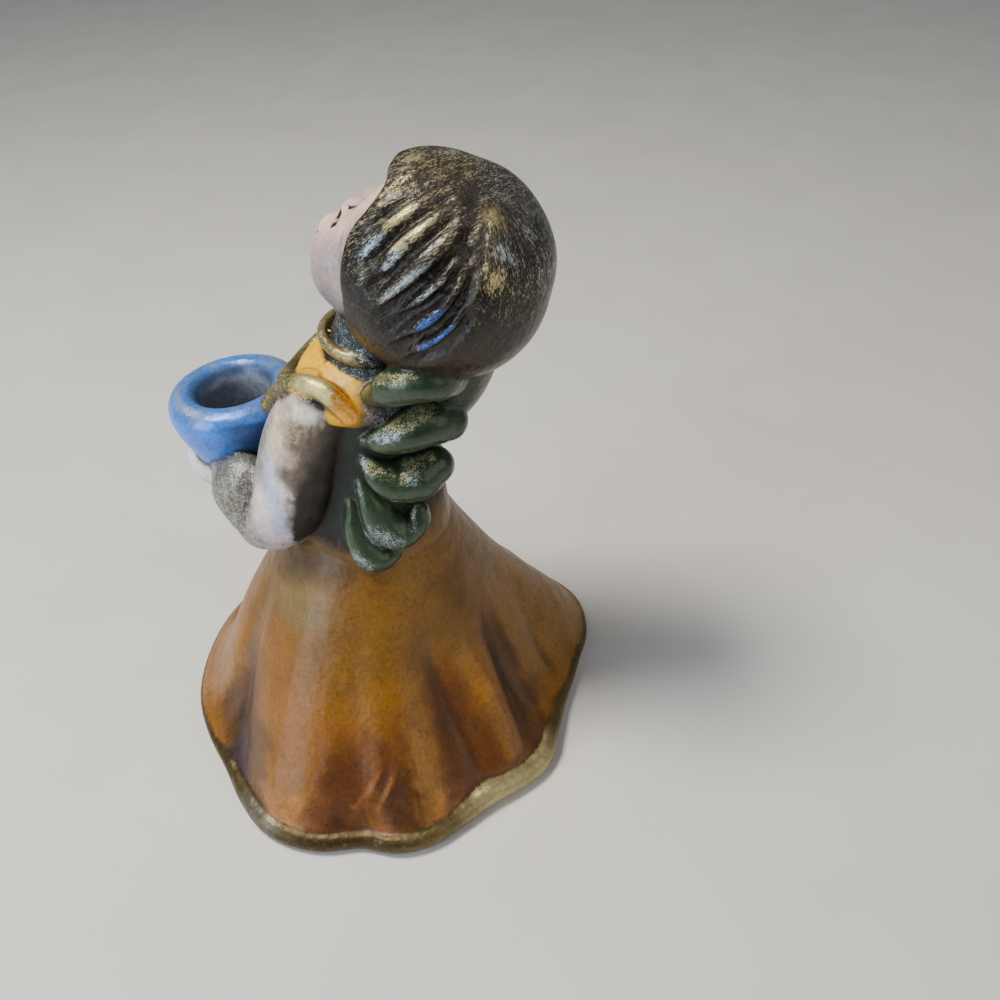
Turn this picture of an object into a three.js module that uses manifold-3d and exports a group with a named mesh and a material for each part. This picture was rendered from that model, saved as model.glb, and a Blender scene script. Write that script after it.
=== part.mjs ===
import * as THREE from "three";
import { mergeVertices } from "three/addons/utils/BufferGeometryUtils.js";
import Module from "manifold-3d";

const wasm = await Module();
wasm.setup();

// Driving sizes, millimetres. +Z is up, the figure faces -Y and its left hand is on +X.
const WALL = 4.6;               // clay wall of the bell skirt
const FOOT_RADIUS = 43.2;       // mean radius of the hem
const HEM_BEAD = 2.3;           // half height of the rolled hem
const HEM_LIFT = 1.2;           // how far the hem curls up off the table between its folds
const CANDLE_BORE = 13;         // socket for a small tree candle
const SOCKET_DEPTH = 13;
const CUP_RADIUS = 12.2;
const CUP_TOP = 74;
const CUP_FORWARD = 26.6;       // cup axis in front of the figure's axis
const CUP_TILT = 3.8;           // the cup leans forward a little
const HEAD_CENTRE = [0, 18.2, 105.4];
const HEAD_SIZE = [17.4, 19.4, 18.2];    // half width, half depth, half height
const HEAD_BACK_TILT = 22;      // the face looks up
const HEAD_TURN = 16;           // and to the figure's right
const HAIR_FRONT = 9.4;         // the hair ends this far in front of the head's centre
const LOCKS = 15;               // locks of hair round the crown
const LOCK_DEPTH = 1.1;

const radians = THREE.MathUtils.degToRad;
const smooth = THREE.MathUtils.smoothstep;
const vector = (p) => new THREE.Vector3(p[0], p[1], p[2]);

// Smooth curve through a short table of [x, value] pairs.
function along(table, x) {
  const last = table.length - 1;
  if (x <= table[0][0]) return table[0][1];
  if (x >= table[last][0]) return table[last][1];
  const i = table.findIndex((row) => row[0] > x) - 1;
  const slope = (k) => {
    const a = table[Math.max(k - 1, 0)];
    const b = table[Math.min(k + 1, last)];
    return (b[1] - a[1]) / (b[0] - a[0]);
  };
  const width = table[i + 1][0] - table[i][0];
  const t = (x - table[i][0]) / width;
  const [t2, t3] = [t * t, t * t * t];
  return (2 * t3 - 3 * t2 + 1) * table[i][1] + (t3 - 2 * t2 + t) * width * slope(i)
    + (3 * t2 - 2 * t3) * table[i + 1][1] + (t3 - t2) * width * slope(i + 1);
}

// Round bump of height 1 at angle zero, falling to nothing beyond its half width.
function bump(angle, halfWidth) {
  const turn = Math.abs(((angle % 360) + 540) % 360 - 180) / halfWidth;
  return turn < 1 ? (1 + Math.cos(Math.PI * turn)) / 2 : 0;
}

// A ring of points: place(angle in degrees) gives each one.
const ring = (sides, place) => Array.from({ length: sides }, (_, j) => place((j / sides) * 360));

// Manifold solid of a closed geometry, turned inside out first if its faces point in.
function solid(geometry) {
  geometry.deleteAttribute("normal");
  geometry.deleteAttribute("uv");
  const merged = mergeVertices(geometry, 1e-5);
  const p = merged.attributes.position;
  const index = Array.from(merged.index.array);
  const [a, b, c] = [new THREE.Vector3(), new THREE.Vector3(), new THREE.Vector3()];
  let volume = 0;
  for (let i = 0; i < index.length; i += 3) {
    a.fromBufferAttribute(p, index[i]);
    b.fromBufferAttribute(p, index[i + 1]);
    c.fromBufferAttribute(p, index[i + 2]);
    volume += a.dot(b.cross(c));
  }
  if (volume < 0) index.reverse();
  return new wasm.Manifold(new wasm.Mesh({
    numProp: 3, vertProperties: new Float32Array(p.array), triVerts: new Uint32Array(index),
  }));
}

// Closed solid skinned over rings of points: a fan closes each end, or the last ring meets the first.
function skin(rings, closed = false) {
  const sides = rings[0].length;
  const points = rings.flat();
  const faces = [];
  const spans = closed ? rings.length : rings.length - 1;
  for (let i = 0; i < spans; i += 1) {
    const next = ((i + 1) % rings.length) * sides;
    for (let j = 0; j < sides; j += 1) {
      const k = (j + 1) % sides;
      faces.push(i * sides + j, i * sides + k, next + k, i * sides + j, next + k, next + j);
    }
  }
  for (const end of closed ? [] : [0, rings.length - 1]) {
    const centre = new THREE.Vector3();
    rings[end].forEach((p) => centre.addScaledVector(p, 1 / sides));
    const hub = points.push(centre) - 1;
    for (let j = 0; j < sides; j += 1) {
      const edge = [end * sides + j, end * sides + (j + 1) % sides];
      faces.push(...(end ? edge : edge.reverse()), hub);
    }
  }
  const geometry = new THREE.BufferGeometry().setFromPoints(points);
  geometry.setIndex(faces);
  return solid(geometry);
}

// Rounded limb: elliptical rings square to a smooth path. The far end is a dome, the near end a flat one.
// Stations are [x, y, z, half width, half thickness]; across is the direction of the half width.
function limb(stations, across, sides = 12, steps = 5, domes = 2) {
  const path = new THREE.CatmullRomCurve3(stations.map(vector));
  const column = (k) => stations.map((s, i) => [i / (stations.length - 1), s[k]]);
  const [widths, heights] = [column(3), column(4)];
  const place = (t, shrink, ahead) => {
    const axis = path.getTangent(t);
    const wide = vector(across).addScaledVector(axis, -vector(across).dot(axis)).normalize();
    const tall = new THREE.Vector3().crossVectors(axis, wide);
    const [w, h] = [along(widths, t), along(heights, t)];
    const centre = path.getPoint(t).addScaledVector(axis, ahead * (w + h) / 2);
    return ring(sides, (turn) => centre.clone()
      .addScaledVector(wide, w * shrink * Math.cos(radians(turn)))
      .addScaledVector(tall, h * shrink * Math.sin(radians(turn))));
  };
  const lean = (i) => (i / (domes + 0.35)) * Math.PI / 2;
  const rings = [place(0, 0.6, -0.7)];
  for (let i = 0; i <= steps; i += 1) rings.push(place(i / steps, 1, 0));
  for (let i = 1; i <= domes; i += 1) rings.push(place(1, Math.cos(lean(i)), Math.sin(lean(i))));
  return skin(rings);
}

// Ball-like body: its surface lies at reach(direction, t, turn) from the centre, in rings round the pole.
function globe(centre, pole, zero, reach, rows, sides, comb = (t, turn) => turn) {
  const axis = vector(pole).normalize();
  const u = vector(zero).addScaledVector(axis, -vector(zero).dot(axis)).normalize();
  const v = new THREE.Vector3().crossVectors(axis, u);
  const rings = [];
  for (let i = 1; i < rows; i += 1) {
    const t = (i / rows) * 180;
    rings.push(ring(sides, (turn) => {
      const around = radians(comb(t, turn));
      const d = axis.clone().multiplyScalar(Math.cos(radians(t)))
        .addScaledVector(u, Math.sin(radians(t)) * Math.cos(around))
        .addScaledVector(v, Math.sin(radians(t)) * Math.sin(around));
      return vector(centre).addScaledVector(d, reach(d, t, turn));
    }));
  }
  return skin(rings);
}

const mirror = (p) => [-p[0], ...p.slice(1)];
const bothSides = (make) => [make((p) => p), make(mirror)];

// Skirt: a hand-pressed bell with irregular folds that open towards the hem, hollow below.
// Folds are [angle, height, half width]; angle 0 is the figure's left, 90 its back.
const FOLDS = [
  [-116, 4.0, 26], [-66, 3.3, 24], [-6, 8.4, 27], [27, 7.6, 19], [67, 4.8, 22], [128, 6.0, 32],
  [172, 4.4, 22], [207, 5.4, 24],
];
const FOLD_BASE = -2.2;         // the valleys lie this far inside the mean radius
const FOLD_FADE = [[0, 0.74], [5, 0.86], [10, 0.95], [18, 0.66], [28, 0.32], [40, 0.1], [54, 0]];
const VALLEY = [-1, 1.4];       // from here to here, inwards, a fold counts as a valley of the hem
const HEM_LIFT_FADE = 9;        // the hem's lift is gone this far up
// Height and change of radius from the hem, and height and lean towards the back
const BELL = [
  [0, -0.2], [HEM_BEAD, 0.9], [2 * HEM_BEAD, -1.2], [8, -3.8], [13, -7], [20, -11.2], [27, -15.4],
  [34, -19.4], [41, -23.4], [48, -27.2], [54, -31],
];
const BELL_LEAN = [[0, 0], [8, 0.6], [18, -0.8], [27, -1.6], [40, -0.8], [52, 0]];

const foldAt = (angle) => FOLDS.reduce(
  (sum, [at, height, half]) => sum + height * bump(angle - at, half), FOLD_BASE,
);
function bellPoint(angle, z, inset = 0) {
  const height = Math.max(z, 0);
  const r = FOOT_RADIUS + along(BELL, height) + foldAt(angle) * along(FOLD_FADE, height) - inset;
  const back = r * Math.sin(radians(angle)) + along(BELL_LEAN, z);
  return new THREE.Vector3(r * Math.cos(radians(angle)), back, z);
}
const hemLift = (angle, z) => (
  HEM_LIFT * smooth(-foldAt(angle), ...VALLEY) * (1 - smooth(z, 0, HEM_LIFT_FADE))
);

const LEVEL_WALL = WALL * 1.2;  // the wall measured level, across the bell's slope
const SKIRT_LEVELS = [0, 1, HEM_BEAD, 4.2, 7.5, 13, 20, 28, 38, 52];
const SKIRT_SIDES = 60;
const skirtRing = (z, inset) => ring(
  SKIRT_SIDES, (angle) => bellPoint(angle, z, inset).setZ(z + hemLift(angle, z)),
);
// The first ring lies inside the hem, so that the underside is flat where the folds stand on the table
const skirt = () => skin([skirtRing(0, 2 * LEVEL_WALL), ...SKIRT_LEVELS.map((z) => skirtRing(z, 0))]);

// The hollow follows the outside at the wall's thickness. The body above it is solid clay.
const HOLLOW_LEVELS = [-1, 3, 9, 20, 34, 46, 53];
const hollow = () => skin(HOLLOW_LEVELS.map(
  (z) => ring(SKIRT_SIDES / 2, (angle) => bellPoint(angle, z, LEVEL_WALL)),
));

// Body, from inside the skirt to the neck: [height, half width, half depth, centre towards the back]
const BODY = [
  [40, 17.5, 17.2, 0], [48, 15.6, 15.4, 0.2], [55, 14, 13.8, 0.8], [63, 13.2, 12.6, 1.6], [71, 13, 12, 2.4],
  [79, 13.2, 11.6, 3.4], [86, 11.4, 10.2, 5], [98, 8.6, 8.6, 9],
];
const BODY_SIDES = 20;
const body = () => skin(BODY.map(([z, wide, deep, back]) => ring(BODY_SIDES, (turn) => (
  new THREE.Vector3(wide * Math.cos(radians(turn)), back + deep * Math.sin(radians(turn)), z)
))));

// Yoke: a rounded cape over both shoulders, with a rolled collar and a trim at the head of each sleeve
const YOKE = { centre: [0, 3.4, 82], half: [15.2, 13, 8.6], below: 4.5 };
const yoke = () => globe(YOKE.centre, [0, 0, 1], [1, 0, 0], (d) => (
  1 / Math.hypot(d.x / YOKE.half[0], d.y / YOKE.half[1], d.z / (d.z > 0 ? YOKE.half[2] : YOKE.below))
), 7, 20);

const COLLAR = { centre: [0, 5.6, 90.4], radius: 9.2, thick: 1.6, tall: 2.1, lean: 30, tilt: -9 };
const collar = () => skin(ring(24, (turn) => ring(6, (around) => {
  const out = COLLAR.radius + COLLAR.thick * Math.cos(radians(around + COLLAR.lean));
  const up = COLLAR.tall * Math.sin(radians(around + COLLAR.lean));
  return new THREE.Vector3(out * Math.cos(radians(turn)), out * Math.sin(radians(turn)), up)
    .applyAxisAngle(new THREE.Vector3(1, 0, 0), radians(COLLAR.tilt)).add(vector(COLLAR.centre));
})), true);

// Path of the trim over the left shoulder, from the chest to the back, and across the chest
const TRIM_SIZE = [1.3, 1.6];
const SHOULDER_TRIM = [[8.2, -8.8, 84], [11.6, -4.4, 86.8], [13.4, 1, 87], [14, 5, 84], [13.4, 7.4, 80.4]];
const CHEST_TRIM = [
  [8.6, -8.4, 84.2], [4.5, -10.6, 82.2], [0, -11.2, 81.4], [-4.5, -10.6, 82.2], [-8.6, -8.4, 84.2],
];
const trim = (path, across) => limb(path.map((p) => [...p, ...TRIM_SIZE]), across, 6, 6, 1);

// Arms, the left one given and the right one its mirror: sleeve, cuff and hand
const ARM = [
  [
    [11, -1.5, 82, 5.2, 6.6], [12.4, -5.5, 73, 5.8, 7.4], [13, -9.5, 61, 6.2, 7.6],
    [12.2, -14.5, 53.5, 6, 7],
  ],
  [[12, -13.5, 53, 5.6, 6.8], [11.4, -19, 57, 5.6, 6.4], [9, -23.5, 61, 5, 5.6]],
  [[9, -24, 60, 3.8, 3.4], [6.5, -30, 58.5, 4.2, 3.2], [3.6, -34.5, 59, 3.8, 2.6]],
];
const armPiece = (stations) => limb(stations, [1, 0, 0], 10, 4, 2);

// Fingers close under the cup. Each joint has the first finger's place, the step to the next and a radius.
const FINGERS = 3;
const JOINTS = [
  { at: [6.4, -29.6, 56.6], step: [-2.2, -1.8, 0], radius: 1.5 },
  { at: [3, -32.6, 58], step: [-1.6, -1.6, 0], radius: 1.4 },
  { at: [0.8, -34.4, 60.6], step: [-0.4, -1.6, 0], radius: 1.2 },
];
const finger = (i, flip) => limb(JOINTS.map(({ at, step, radius }) => (
  [...flip(at.map((value, k) => value + step[k] * i)), radius, radius]
)), [0, 0, 1], 6, 2, 1);
const fingers = (flip) => Array.from({ length: FINGERS }, (_, i) => finger(i, flip));

// Wings: five fat lobes a side, from the shoulder blade round to the back
const LOBES = [
  { root: [10, 8.5, 84], middle: [9.6, 15, 88], tip: [5.6, 20.6, 87], thin: 3.2, fat: 3.6 },
  { root: [11.5, 7.5, 78.5], middle: [10.5, 15, 80], tip: [5, 19.8, 78.8], thin: 3.6, fat: 4.1 },
  { root: [12, 6.5, 73], middle: [11.4, 12.4, 69.6], tip: [6, 16.2, 67.4], thin: 3.6, fat: 4.3 },
  { root: [12.4, 5, 67.5], middle: [12.6, 7.8, 60.8], tip: [8.8, 11.2, 55.4], thin: 3.3, fat: 3.9 },
  { root: [12.8, 3.4, 63], middle: [13.6, 3.4, 54.4], tip: [11.2, 6.8, 49.2], thin: 3, fat: 3.6 },
];
const ROOT_SHARE = 0.8;         // the root is slimmer than the lobe's neck
const lobe = ({ root, middle, tip, thin, fat }, flip) => limb([
  [...flip(root), thin * ROOT_SHARE, thin * ROOT_SHARE], [...flip(middle), fat, fat],
  [...flip(tip), fat, fat],
], flip([1, -0.4, 0]), 8, 3, 2);

// Cup, turned on its own axis: [radius, height above the rim]
const CUP = [
  [0, -19], [6.5, -18.4], [8.8, -14], [10.4, -9.5], [11.7, -5.8], [CUP_RADIUS, -3.2], [11.7, -1.2],
  [10.4, 0], [8.6, 0.1], [7.3, -0.8], [CANDLE_BORE / 2, -2.2], [CANDLE_BORE / 2, -SOCKET_DEPTH],
  [0, -SOCKET_DEPTH],
];
function cup() {
  const geometry = new THREE.LatheGeometry(CUP.map(([r, z]) => new THREE.Vector2(r, z)), 24);
  geometry.rotateX(Math.PI / 2 + radians(CUP_TILT)).translate(0, -CUP_FORWARD, CUP_TOP);
  return solid(geometry);
}

// Head: a round cap of hair combed forward from the crown, and a face set into its front
const headTurn = new THREE.Euler(radians(-HEAD_BACK_TILT), 0, radians(-HEAD_TURN), "ZXY");
const ahead = new THREE.Vector3(0, -1, 0).applyEuler(headTurn);
const aloft = new THREE.Vector3(0, 0, 1).applyEuler(headTurn);
const aside = new THREE.Vector3(1, 0, 0).applyEuler(headTurn);
const onHead = (centre, right, forward, up) => vector(centre)
  .addScaledVector(aside, right).addScaledVector(ahead, forward).addScaledVector(aloft, up).toArray();
const egg = (d, [wide, deep, tall]) => (
  1 / Math.hypot(d.dot(aside) / wide, d.dot(ahead) / deep, d.dot(aloft) / tall)
);

// The locks run out from the crown, angles in degrees from it and round it
const CROWN = [0.1, 0.6, 0.8];
const COMB = { sweep: 26, from: 30, to: 120 };                 // they bend forward by this as they fall
const GROOVE = { from: 12, to: 45, sharp: 0.7, behind: 0.35 };  // shallow at the crown and behind
function hair() {
  const comb = (t, turn) => turn - COMB.sweep * smooth(t, COMB.from, COMB.to) * Math.sin(radians(turn));
  return globe(HEAD_CENTRE, CROWN, [0, -1, 0], (d, t, turn) => {
    const between = Math.abs(Math.sin(radians(turn * LOCKS / 2)));
    const front = smooth(Math.cos(radians(turn)), -0.75, -0.1);
    const deep = smooth(t, GROOVE.from, GROOVE.to) * (GROOVE.behind + (1 - GROOVE.behind) * front);
    const groove = LOCK_DEPTH * (1 - between ** GROOVE.sharp) * deep;
    return Math.min(egg(d, HEAD_SIZE) - groove, HAIR_FRONT / Math.max(d.dot(ahead), 0.01));
  }, 11, LOCKS * 4, comb);
}

const FACE = { centre: onHead(HEAD_CENTRE, 0, 7.2, -5.2), half: [13, 12.6, 12] };
const CHEEK = { fullness: 1.5, toward: [0.62, 0.74, -0.12], edge: 0.72 };
function face() {
  const [right, forward, up] = CHEEK.toward;
  return globe(FACE.centre, aloft.toArray(), ahead.toArray(), (d) => {
    const cheek = Math.abs(d.dot(aside)) * right + d.dot(ahead) * forward + d.dot(aloft) * up;
    return egg(d, FACE.half) + CHEEK.fullness * smooth(cheek, CHEEK.edge, 1);
  }, 9, 22);
}
const BROW = { centre: onHead(HEAD_CENTRE, 0, 3.4, -0.6), half: [14, 12.4, 13.4] };
const brow = () => globe(BROW.centre, aloft.toArray(), ahead.toArray(), (d) => egg(d, BROW.half), 7, 16);

// Places on the face are [right, forward, up] from its centre, sizes half widths the same way
const FEATURES = {
  nose: { at: [0, 12.3, -0.6], half: [1.7, 1.6, 1.6] },
  lips: { at: [0, 11.8, -4.4], half: [2.4, 1.2, 1.1] },
  rightLid: { at: [-4.7, 11, 2.9], half: [2.9, 1.6, 2] },
  leftLid: { at: [4.7, 11, 2.9], half: [2.9, 1.6, 2] },
};
const feature = ({ at, half }) => globe(
  onHead(FACE.centre, ...at), ahead.toArray(), aloft.toArray(), (d) => egg(d, half), 6, 8,
);

const pieces = [
  body(), yoke(), collar(), cup(), hair(), face(), brow(), ...Object.values(FEATURES).map(feature),
  ...bothSides((flip) => trim(SHOULDER_TRIM.map(flip), [1, 0, 0])), trim(CHEST_TRIM, [0, 0, 1]),
  ...ARM.flatMap((stations) => bothSides((flip) => armPiece(stations.map(flip)))),
  ...bothSides(fingers).flat(),
  ...LOBES.flatMap((shape) => bothSides((flip) => lobe(shape, flip))),
];
const whole = pieces.reduce((sum, piece) => sum.add(piece), skirt()).subtract(hollow());

const { vertProperties, triVerts } = whole.getMesh();
const geometry = new THREE.BufferGeometry();
geometry.setAttribute("position", new THREE.BufferAttribute(vertProperties, 3));
geometry.setIndex(new THREE.BufferAttribute(triVerts, 1));
geometry.computeVertexNormals();
const amberGlaze = new THREE.MeshStandardMaterial({ color: 0xb06a1c, roughness: 0.35, metalness: 0 });
const angel = new THREE.Mesh(geometry, amberGlaze);
angel.name = "angel";
// The frame's origin is the middle of the outline's box, on the table
geometry.computeBoundingBox();
const { min, max } = geometry.boundingBox;
angel.position.set(-(min.x + max.x) / 2, -(min.y + max.y) / 2, -min.z);

const group = new THREE.Group();
group.add(angel);
export default group;
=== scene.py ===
import math

import bpy
import numpy as np
from mathutils import Matrix, Vector
from mathutils.bvhtree import BVHTree


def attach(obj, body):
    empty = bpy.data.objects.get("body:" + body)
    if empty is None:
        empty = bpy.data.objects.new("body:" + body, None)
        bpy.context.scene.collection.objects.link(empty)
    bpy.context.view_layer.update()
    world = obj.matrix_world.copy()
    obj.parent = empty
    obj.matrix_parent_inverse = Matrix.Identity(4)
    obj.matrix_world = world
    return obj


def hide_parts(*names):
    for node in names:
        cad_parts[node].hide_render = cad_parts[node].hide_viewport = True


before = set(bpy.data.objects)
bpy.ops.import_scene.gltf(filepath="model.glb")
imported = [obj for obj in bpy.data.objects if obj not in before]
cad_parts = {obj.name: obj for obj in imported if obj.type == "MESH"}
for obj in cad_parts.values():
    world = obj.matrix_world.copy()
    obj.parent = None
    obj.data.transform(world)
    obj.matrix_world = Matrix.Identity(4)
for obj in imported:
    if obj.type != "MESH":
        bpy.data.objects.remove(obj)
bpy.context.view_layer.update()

# Skirt and body
# The figure starts as a hollow bell of clay, with folds pressed into its skirt by hand, and a solid body
# drawn out of its top. Sizes are millimetres round the bell's own axis until the piece is finished.
MM = 0.001
AXIS = (-1.62, -0.57)  # where the bell's axis stands in the frame
WALL = 4.6
LEVEL_WALL = WALL * 1.2  # the wall measured level, across the bell's slope
FOOT_RADIUS = 43.2
FOLD_ROOT = 20  # nearer to the axis than this the folds fade out
HEM_LIFT = 1.2  # how far the hem curls up off the ground between its folds
HEM_LIFT_FADE = 9  # the height over which that lift fades out
VALLEY = (-1.0, 1.4)  # from here to here, inwards, a fold counts as a valley
# How far the hem stands out of a circle, by angle: 0 is the figure's left and 90 its back
FOLDS = [
    (-106, 0.6), (-93, 0.5), (-78, -0.2), (-60, -0.4), (-42, -1.2), (-30, -0.6), (-19, 2.6), (-10, 5.5),
    (-2, 6.2), (6, 5.5), (15, 3.4), (24, 5.2), (32, 4.6), (40, 2), (49, 0), (57, 0.3), (66, 0.9),
    (72, 0), (79, -2.4), (91, -4.4), (107, -2.6), (122, 2.2), (134, 3.7), (151, 0.2), (170, 2.1),
    (188, -1.8), (207, 3.2), (229, -2.1), (245, 1.7),
]
# The share of a fold that is left, by height
FOLD_FADE = [(0, 0.76), (5, 0.86), (10, 0.95), (18, 0.66), (28, 0.32), (40, 0.1), (54, 0)]
# Hollows between the folds, each (angle at its foot, angle at its top, foot, top, depth, half width)
HOLLOWS = [
    (-38, -50, 3, 40, 2.6, 7.5), (47, 48, 4.6, 34, 3.1, 7.6), (69, 86, 4.6, 31, 3.2, 6.6),
    (22, 26, 4.6, 21, 0.9, 4.6), (9, 7, 4, 15, 0.5, 3), (98, 112, 5, 24, 1, 5), (150, 147, 4, 34, 2.2, 7),
    (189, 191, 4, 32, 2.4, 7), (228, 226, 4, 36, 2.4, 8), (-92, -88, 4, 30, 1.6, 6),
    (31, 30, 5, 15, -0.5, 2), (64, 67, 6, 34, -0.9, 3.4), (-6, -12, 7, 15, -0.7, 3),
    (15, 24, 8, 17, -0.4, 0.9), (21, 28, 9, 18, -0.4, 0.9), (36, 38, 5, 11, -0.6, 2),
    (60, 61, 6, 11, -0.7, 2.2),
]
HOLLOW_PEAK = 0.6  # below 1, a hollow is deepest near its foot
# The bell's radius above its foot, less that of the foot, and how far it leans back, by height
BELL = [
    (0, -0.2), (2.3, 0.9), (4.6, -1.2), (8, -3.8), (13, -7), (20, -11.2), (27, -15.4), (34, -19.4),
    (41, -23.4), (48, -27.2), (54, -31),
]
BELL_LEAN = [(0, 0), (8, 0.6), (18, -0.8), (27, -1.6), (40, -0.8), (52, 0)]
BELL_TOP, HOLLOW_TOP = 52, 53
HEM_LEVELS = [0, 0.6, 1.2, 1.8, 2.3, 2.8, 3.4, 4, 4.6, 5.3]  # closer together, for the curl of the hem
SKIRT_SIDES = 300
# Body rows are (height, half width, half depth, centre towards the back)
BODY = [
    (40, 17.5, 17.2, 0), (48, 15.6, 15.5, 0.3), (55, 14.2, 14.3, 1.1), (63, 13.2, 13, 1.8),
    (71, 13, 12, 2.4), (79, 13.2, 11.6, 3.4), (86, 11.4, 10.2, 5), (91, 8.8, 8.6, 6.6),
    (98, 8.6, 8.6, 9),
]
BODY_SIDES = 72


def along(table, x):
    """Smooth curve through a short table of (x, value) rows, level beyond its ends."""
    xs, values = np.array(table, float).T
    slopes = np.empty_like(values)
    slopes[1:-1] = (values[2:] - values[:-2]) / (xs[2:] - xs[:-2])
    slopes[0] = (values[1] - values[0]) / (xs[1] - xs[0])
    slopes[-1] = (values[-1] - values[-2]) / (xs[-1] - xs[-2])
    x = np.clip(x, xs[0], xs[-1])
    i = np.clip(np.searchsorted(xs, x, side="right") - 1, 0, len(xs) - 2)
    width = xs[i + 1] - xs[i]
    t = (x - xs[i]) / width
    rise = values[i] * (1 + 2 * t) * (1 - t) ** 2 + values[i + 1] * t * t * (3 - 2 * t)
    return rise + width * (slopes[i] * t * (1 - t) ** 2 - slopes[i + 1] * t * t * (1 - t))


def around(table, angle):
    """The same for a table of (angle, value) rows that closes on itself."""
    closed = [(table[-1][0] - 360, table[-1][1]), *table, *((at + 360, value) for at, value in table[:2])]
    start = table[0][0]
    return along(closed, (np.asarray(angle) - start) % 360 + start)


def fade(x, start, end):
    """0 before start, 1 past end, and smooth between them. Start may be the larger."""
    t = np.clip((x - start) / (end - start), 0, 1)
    return t * t * (3 - 2 * t)


def read(items, field, width, kind=float):
    """A field of every item, in rows."""
    rows = np.empty(len(items) * width, kind)
    items.foreach_get(field, rows)
    return rows.reshape(-1, width)


def points(piece):
    """The piece's vertices as rows of x, y, z."""
    return read(piece.data.vertices, "co", 3)


def place(piece, rows):
    """Puts the piece's vertices where the rows say."""
    piece.data.vertices.foreach_set("co", np.ascontiguousarray(rows, float).ravel())
    piece.data.update()
    return piece


def add(kind, **sizes):
    """A mesh primitive, added with nothing else selected."""
    bpy.ops.object.select_all(action="DESELECT")
    getattr(bpy.ops.mesh, f"primitive_{kind}_add")(**sizes)
    return bpy.context.object


def throw(profile, sides):
    """A wall drawn up from a ring of clay through (radius, height) rows, its two ends closed."""
    radius, height = profile[0]
    piece = add("circle", vertices=sides, radius=radius, location=(0, 0, height))
    bpy.ops.object.transform_apply(location=True)
    bpy.ops.object.mode_set(mode="EDIT")
    bpy.ops.mesh.select_all(action="SELECT")
    bpy.ops.mesh.edge_face_add()
    bpy.ops.mesh.select_mode(type="EDGE")
    for wider, higher in profile[1:]:
        bpy.ops.mesh.extrude_region_move(TRANSFORM_OT_translate={"value": (0, 0, higher - height)})
        bpy.ops.transform.resize(value=(wider / radius, wider / radius, 1), center_override=(0, 0, higher))
        radius, height = wider, higher
    bpy.ops.mesh.select_all(action="SELECT")
    bpy.ops.mesh.normals_make_consistent(inside=False)
    bpy.ops.object.mode_set(mode="OBJECT")
    return piece


def pick(*pieces):
    """Selects these pieces alone, the first of them active."""
    bpy.ops.object.select_all(action="DESELECT")
    for piece in pieces:
        piece.select_set(True)
    bpy.context.view_layer.objects.active = pieces[0]


def apply(piece, kind, **settings):
    """Adds a modifier with its settings and applies it."""
    modifier = piece.modifiers.new(kind.title(), kind)
    for name, value in settings.items():
        setattr(modifier, name, value)
    pick(piece)
    bpy.ops.object.modifier_apply(modifier=modifier.name)


def turned(angle, at):
    """How far an angle is from another, in degrees from -180 to 180."""
    return (angle - at + 180) % 360 - 180


def hollow_depth(angle, height, radius):
    """How deep the hollows are pressed in, at an angle, height and radius of the bell."""
    depth = np.zeros(np.shape(angle))
    for foot_angle, top_angle, foot, top, most, half in HOLLOWS:
        t = np.clip((height - foot) / (top - foot), 0, 1)
        middle = foot_angle + (top_angle - foot_angle) * t
        aside = np.radians(turned(angle, middle)) * radius / (half * (1 - t / 2))
        depth += most * np.sin(np.pi * t ** HOLLOW_PEAK) * np.exp(-2 * aside ** 2)
    return depth


def folds(angle, height):
    """How far the folds stand out at an angle and height of the bell, and how far they lift its hem."""
    out = around(FOLDS, angle)
    return out * along(FOLD_FADE, height), HEM_LIFT * fade(-out, *VALLEY)


def press_folds(piece, hollows=True):
    """Presses the folds into a thrown bell, leans it and lifts its hem between the folds."""
    x, y, z = points(piece).T
    angle = np.degrees(np.arctan2(y, x))
    height = np.maximum(z, 0)
    radius = np.hypot(x, y)
    out, lift = folds(angle, height)
    out *= np.minimum(radius / FOLD_ROOT, 1)
    if hollows:
        out -= hollow_depth(angle, height, radius)
    lift *= 1 - fade(z, 0, HEM_LIFT_FADE)
    turn = np.radians(angle)
    back = (radius + out) * np.sin(turn) + along(BELL_LEAN, height)
    return place(piece, np.stack([(radius + out) * np.cos(turn), back, np.where(z < 0, z, z + lift)], 1))


def bell_rows(levels, inset):
    """Rows of the bell's mean profile, or of one inside it."""
    return [(FOOT_RADIUS + float(along(BELL, max(z, 0))) - inset, z) for z in levels]


underside = (FOOT_RADIUS - 2 * LEVEL_WALL, 0)
skirt_rows = bell_rows([*HEM_LEVELS, *range(6, BELL_TOP + 1)], 0)
skirt = press_folds(throw([underside, *skirt_rows], SKIRT_SIDES))
body = throw([(wide, z) for z, wide, deep, back in BODY], BODY_SIDES)
x, y, z = points(body).T
heights, widths, depths, backs = np.array(BODY, float).T
y = y * np.interp(z, heights, depths / widths) + np.interp(z, heights, backs)
place(body, np.stack([x, y, z], 1))
core = throw(bell_rows([-1, 0, 3, *range(6, HOLLOW_TOP + 1)], LEVEL_WALL), SKIRT_SIDES)
press_folds(core, hollows=False)
for piece in (skirt, body):
    apply(piece, "BOOLEAN", operation="DIFFERENCE", object=core, solver="EXACT")
bpy.data.objects.remove(core)

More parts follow.
